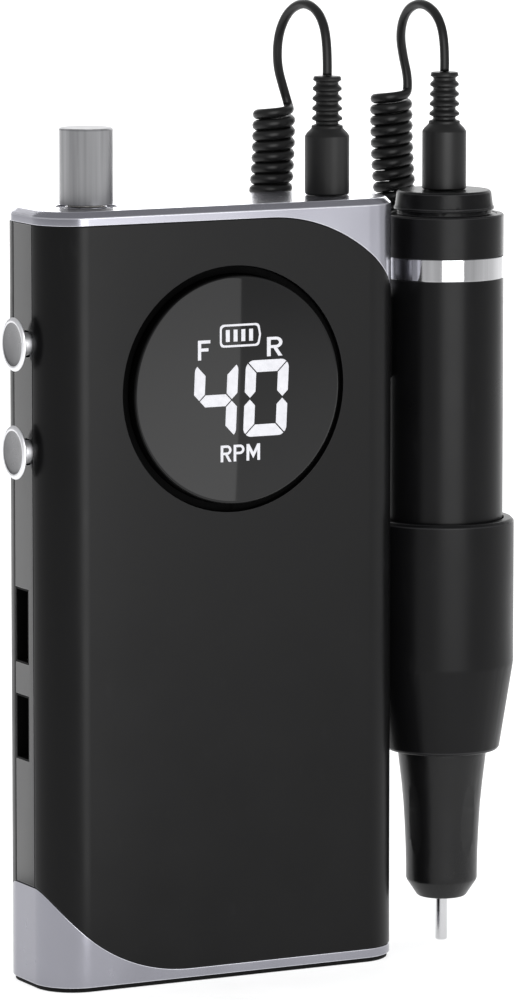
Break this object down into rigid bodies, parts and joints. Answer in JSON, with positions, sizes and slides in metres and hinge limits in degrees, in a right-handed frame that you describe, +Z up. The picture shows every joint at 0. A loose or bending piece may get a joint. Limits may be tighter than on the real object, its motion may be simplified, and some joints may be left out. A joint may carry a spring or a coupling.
{
  "type": "electric nail drill",
  "caption": "Portable nail drill: flat control box with round display, speed knob and side buttons, an upright handpiece with twist grip and bit, and a curly cord between two jacks.",
  "frame": {"origin": "centre of the control box's base, on the surface it stands on", "axes": "+Z up, +X to the object's right towards the handpiece, +Y to its back; the display faces -Y"},
  "size_m": [0.1147, 0.0411, 0.1877],
  "materials": {
    "cover_black": "satin moulded",
    "band_black": "gloss",
    "silver_shell": "fine satin",
    "pad_black": "matt",
    "lens_black": "gloss",
    "bezel_black": "gloss",
    "module_grey": "matt",
    "board_green": "satin",
    "port_black": "matt",
    "cell_wrap": "satin",
    "tray_grey": "matt",
    "nickel": "satin",
    "screw_steel": "satin",
    "knob_aluminium": "turned satin",
    "button_chrome": "polished",
    "jack_black": "satin",
    "plug_rubber": "satin",
    "pin_nickel": "polished",
    "cord_black": "satin",
    "barrel_black": "satin anodised",
    "ring_chrome": "polished",
    "grip_black": "satin",
    "cap_black": "satin",
    "nose_black": "satin",
    "steel": "ground",
    "bit_steel": "polished",
    "magnet": "plated",
    "rotor_iron": "plain",
    "seal_rubber": "matt"
  },
  "bodies": {
    "box": {"base_pad": "pad_black", "bottom_cap": "silver_shell", "top_cap": "silver_shell", "front_cover": "cover_black", "back_cover": "cover_black", "side_frame": "band_black", "case_screws": "screw_steel", "display_lens": "lens_black", "display_bezel": "bezel_black", "display_module": "module_grey", "main_board": "board_green", "charge_board": "board_green", "tact_switches": "module_grey", "usb_port": "port_black", "charge_port": "port_black", "battery_cells": "cell_wrap", "battery_tray": "tray_grey", "battery_straps": "nickel", "speed_control": "port_black", "speed_control_nut": "nickel", "output_jack": "jack_black", "handpiece_cradle": "cap_black", "cradle_magnet": "magnet", "cradle_screws": "screw_steel", "cord_coil": "cord_black"},
    "knob": {"speed_knob": "knob_aluminium", "speed_shaft": "steel", "knob_set_screw": "screw_steel"},
    "power_button": {"power_button": "button_chrome"},
    "direction_button": {"direction_button": "button_chrome"},
    "handpiece": {"barrel": "barrel_black", "chrome_ring": "ring_chrome", "rear_cap": "cap_black", "handpiece_jack": "jack_black", "nose_cone": "nose_black", "dust_seal": "seal_rubber", "nose_bearings": "steel", "rear_bearing": "steel", "lock_collar": "steel", "chuck_springs": "steel", "motor_can": "steel"},
    "grip": {"twist_grip": "grip_black"},
    "spindle": {"motor_rotor": "rotor_iron", "coupling": "steel", "spindle": "steel", "collet": "steel"},
    "bit": {"bit": "bit_steel"},
    "box_plug": {"box_plug": "plug_rubber", "box_plug_pin": "pin_nickel", "cord_lead_box": "cord_black"},
    "handpiece_plug": {"handpiece_plug": "plug_rubber", "handpiece_plug_pin": "pin_nickel", "cord_lead_handpiece": "cord_black"}
  },
  "joints": [
    {"name": "knob_turn", "type": "hinge", "parent": "box", "child": "knob", "pos_m": [-0.02475, 0, 0.158], "axis": [0, 0, 1], "range_deg": [-30, 270]},
    {"name": "power_press", "type": "slide", "parent": "box", "child": "power_button", "axis": [1, 0, 0], "range_m": [0, 0.0006], "stiffness_N_per_m": 600, "springref_m": -0.001},
    {"name": "direction_press", "type": "slide", "parent": "box", "child": "direction_button", "axis": [1, 0, 0], "range_m": [0, 0.0006], "stiffness_N_per_m": 600, "springref_m": -0.001},
    {"name": "handpiece_lift", "type": "slide", "parent": "box", "child": "handpiece", "axis": [0, 0, 1], "range_m": [0, 0.026]},
    {"name": "grip_twist", "type": "hinge", "parent": "handpiece", "child": "grip", "pos_m": [0.0534, 0, 0.06], "axis": [0, 0, 1], "range_deg": [0, 40]},
    {"name": "spindle_spin", "type": "hinge", "parent": "handpiece", "child": "spindle", "pos_m": [0.0534, 0, 0.04], "axis": [0, 0, 1], "continuous": true},
    {"name": "bit_pull", "type": "slide", "parent": "spindle", "child": "bit", "axis": [0, 0, -1], "range_m": [0, 0.02]},
    {"name": "box_plug_pull", "type": "slide", "parent": "box", "child": "box_plug", "axis": [0, 0, 1], "range_m": [0, 0.014]},
    {"name": "handpiece_plug_pull", "type": "slide", "parent": "handpiece", "child": "handpiece_plug", "axis": [0, 0, 1], "range_m": [0, 0.014]}
  ]
}
